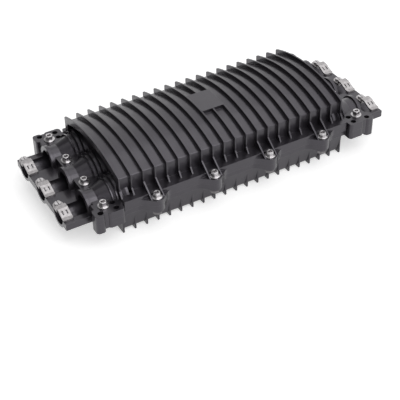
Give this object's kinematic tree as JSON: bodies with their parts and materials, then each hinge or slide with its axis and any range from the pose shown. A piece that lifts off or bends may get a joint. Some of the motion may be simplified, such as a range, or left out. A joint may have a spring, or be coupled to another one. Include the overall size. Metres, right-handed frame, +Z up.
{
  "type": "fibre distribution box",
  "caption": "In-line fibre closure: ribbed black half shells bolted together, clamped cable ports at both ends, hinged splice trays inside.",
  "frame": {"origin": "centre of the footprint, on the plane of the lower rib tips", "axes": "+X along the cables, +Z up through the dome, +Y from the front long side to the back one"},
  "size_m": [0.4332, 0.191, 0.088],
  "materials": {
    "shell_plastic": "satin black moulded plastic",
    "seal_rubber": "soft black",
    "clamp_steel": "satin",
    "bolt_steel": "bright",
    "insert_brass": "satin",
    "tray_white": "satin white",
    "splice_clear": "milky translucent",
    "comb_dark": "matte",
    "anchor_dark": "matte"
  },
  "bodies": {
    "base": {"anchor_nuts_left": "bolt_steel", "anchor_nuts_right": "bolt_steel", "anchor_plates_left": "anchor_dark", "anchor_plates_right": "anchor_dark", "anchor_posts_left": "bolt_steel", "anchor_posts_right": "bolt_steel", "bracket_screws": "bolt_steel", "cable_clamp_left_front": "clamp_steel", "cable_clamp_left_middle": "clamp_steel", "cable_clamp_left_rear": "clamp_steel", "cable_clamp_right_front": "clamp_steel", "cable_clamp_right_middle": "clamp_steel", "cable_clamp_right_rear": "clamp_steel", "clamp_screws_left": "bolt_steel", "clamp_screws_right": "bolt_steel", "end_inserts_left": "insert_brass", "end_inserts_right": "insert_brass", "hinge_bracket": "tray_white", "lower_shell": "shell_plastic", "side_nuts_back": "bolt_steel", "side_nuts_front": "bolt_steel", "side_seal_back": "seal_rubber", "side_seal_front": "seal_rubber", "storage_tray": "tray_white", "storage_tray_screws": "bolt_steel"},
    "cover": {"upper_shell": "shell_plastic", "side_bolts_front": "bolt_steel", "side_bolts_back": "bolt_steel", "end_screws_left": "bolt_steel", "end_screws_right": "bolt_steel"},
    "tray_1": {"splice_tray_1": "splice_clear", "splice_holder_1": "comb_dark"},
    "tray_2": {"splice_tray_2": "splice_clear", "splice_holder_2": "comb_dark"},
    "tray_3": {"splice_tray_3": "splice_clear", "splice_holder_3": "comb_dark"},
    "tray_4": {"splice_tray_4": "splice_clear", "splice_holder_4": "comb_dark", "splice_tray_lid": "splice_clear"}
  },
  "joints": [
    {"name": "cover_lift", "type": "slide", "parent": "base", "child": "cover", "axis": [0, 0, 1], "range_m": [0, 0.25]},
    {"name": "tray_1_hinge", "type": "hinge", "parent": "base", "child": "tray_1", "pos_m": [0, 0.034, 0.033], "axis": [-1, 0, 0], "range_deg": [0, 70]},
    {"name": "tray_2_hinge", "type": "hinge", "parent": "base", "child": "tray_2", "pos_m": [0, 0.0395, 0.043], "axis": [-1, 0, 0], "range_deg": [0, 70]},
    {"name": "tray_3_hinge", "type": "hinge", "parent": "base", "child": "tray_3", "pos_m": [0, 0.045, 0.053], "axis": [-1, 0, 0], "range_deg": [0, 70]},
    {"name": "tray_4_hinge", "type": "hinge", "parent": "base", "child": "tray_4", "pos_m": [0, 0.0505, 0.063], "axis": [-1, 0, 0], "range_deg": [0, 70]}
  ],
  "couplings": [
    {"joint": "tray_1_hinge", "follows": "cover_lift", "rad_per_m": 4.8869},
    {"joint": "tray_2_hinge", "follows": "cover_lift", "rad_per_m": 4.8869},
    {"joint": "tray_3_hinge", "follows": "cover_lift", "rad_per_m": 4.8869},
    {"joint": "tray_4_hinge", "follows": "cover_lift", "rad_per_m": 4.8869}
  ]
}
